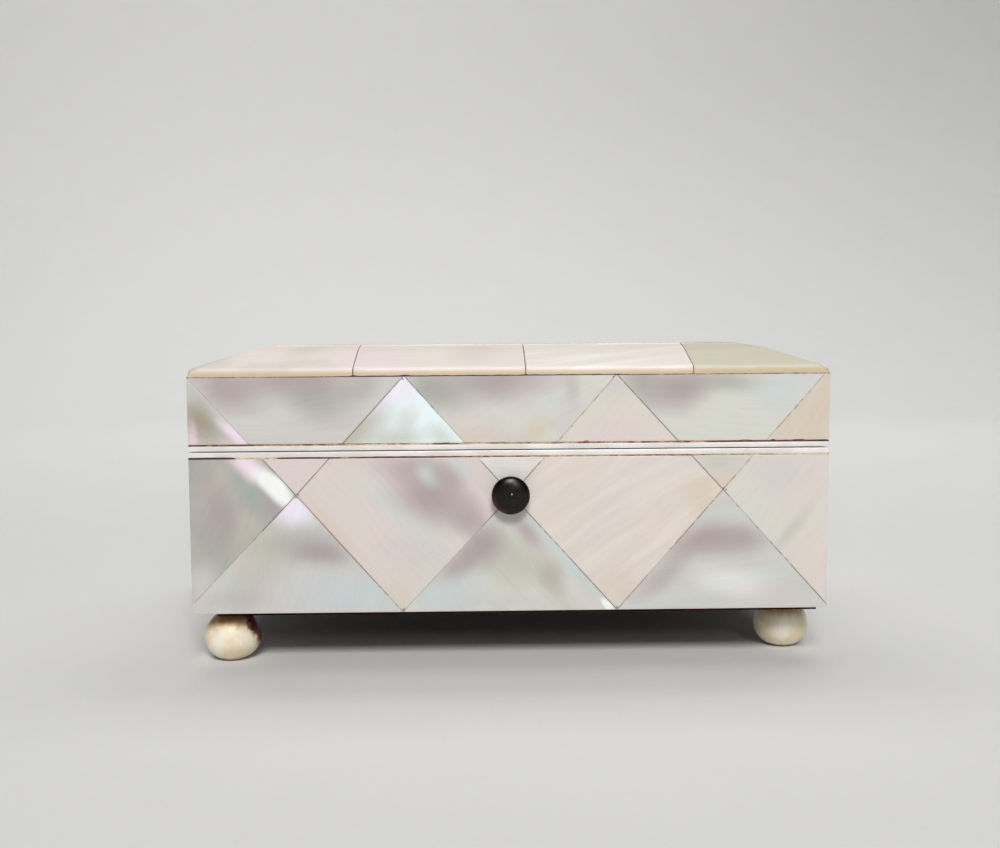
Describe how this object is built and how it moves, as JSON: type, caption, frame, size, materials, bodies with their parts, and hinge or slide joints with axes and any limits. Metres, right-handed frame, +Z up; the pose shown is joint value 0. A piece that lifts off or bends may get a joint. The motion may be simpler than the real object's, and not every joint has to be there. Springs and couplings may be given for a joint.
{
  "type": "needle case",
  "caption": "Small mother-of-pearl veneered box on ball feet for needle packets, with a bevelled lift-off lid, thin white metal edging and a small black front knob.",
  "frame": {"origin": "on the table under the middle of the whole, the knob included", "axes": "+X along the length to the right, +Y from the front to the back, +Z up"},
  "size_m": [0.084, 0.0586, 0.0424],
  "materials": {
    "face_pearl": "polished",
    "top_pearl": "polished",
    "wood": "satin",
    "white_metal": "satin",
    "bone": "satin",
    "ebony": "satin"
  },
  "bodies": {
    "root": {"back_base_pearl": "face_pearl", "back_lid_pearl": "face_pearl", "base_back_board": "wood", "base_edging": "white_metal", "base_front_board": "wood", "base_left_board": "wood", "base_right_board": "wood", "bottom_board": "wood", "foot_back_left": "bone", "foot_back_right": "bone", "foot_front_left": "bone", "foot_front_right": "bone", "front_base_pearl_1": "face_pearl", "front_base_pearl_10": "face_pearl", "front_base_pearl_2": "face_pearl", "front_base_pearl_3": "face_pearl", "front_base_pearl_4": "face_pearl", "front_base_pearl_5": "face_pearl", "front_base_pearl_6": "face_pearl", "front_base_pearl_7": "face_pearl", "front_base_pearl_8": "face_pearl", "front_base_pearl_9": "face_pearl", "front_lid_pearl_1": "face_pearl", "front_lid_pearl_2": "face_pearl", "front_lid_pearl_3": "face_pearl", "front_lid_pearl_4": "face_pearl", "front_lid_pearl_5": "face_pearl", "front_lid_pearl_6": "face_pearl", "front_lid_pearl_7": "face_pearl", "knob": "ebony", "left_base_pearl": "face_pearl", "left_lid_pearl": "face_pearl", "lid_back_board": "wood", "lid_back_border_pearl_1": "top_pearl", "lid_back_border_pearl_2": "top_pearl", "lid_back_border_pearl_3": "top_pearl", "lid_back_border_pearl_4": "top_pearl", "lid_centre_pearl_1_1": "top_pearl", "lid_centre_pearl_1_2": "top_pearl", "lid_centre_pearl_1_3": "top_pearl", "lid_centre_pearl_2_1": "top_pearl", "lid_centre_pearl_2_2": "top_pearl", "lid_centre_pearl_2_3": "top_pearl", "lid_edging": "white_metal", "lid_front_board": "wood", "lid_front_border_pearl_1": "top_pearl", "lid_front_border_pearl_2": "top_pearl", "lid_front_border_pearl_3": "top_pearl", "lid_front_border_pearl_4": "top_pearl", "lid_left_board": "wood", "lid_left_border_pearl_1": "top_pearl", "lid_left_border_pearl_2": "top_pearl", "lid_right_board": "wood", "lid_right_border_pearl_1": "top_pearl", "lid_right_border_pearl_2": "top_pearl", "lid_top_board": "wood", "right_base_pearl": "face_pearl", "right_lid_pearl": "face_pearl"}
  },
  "joints": []
}
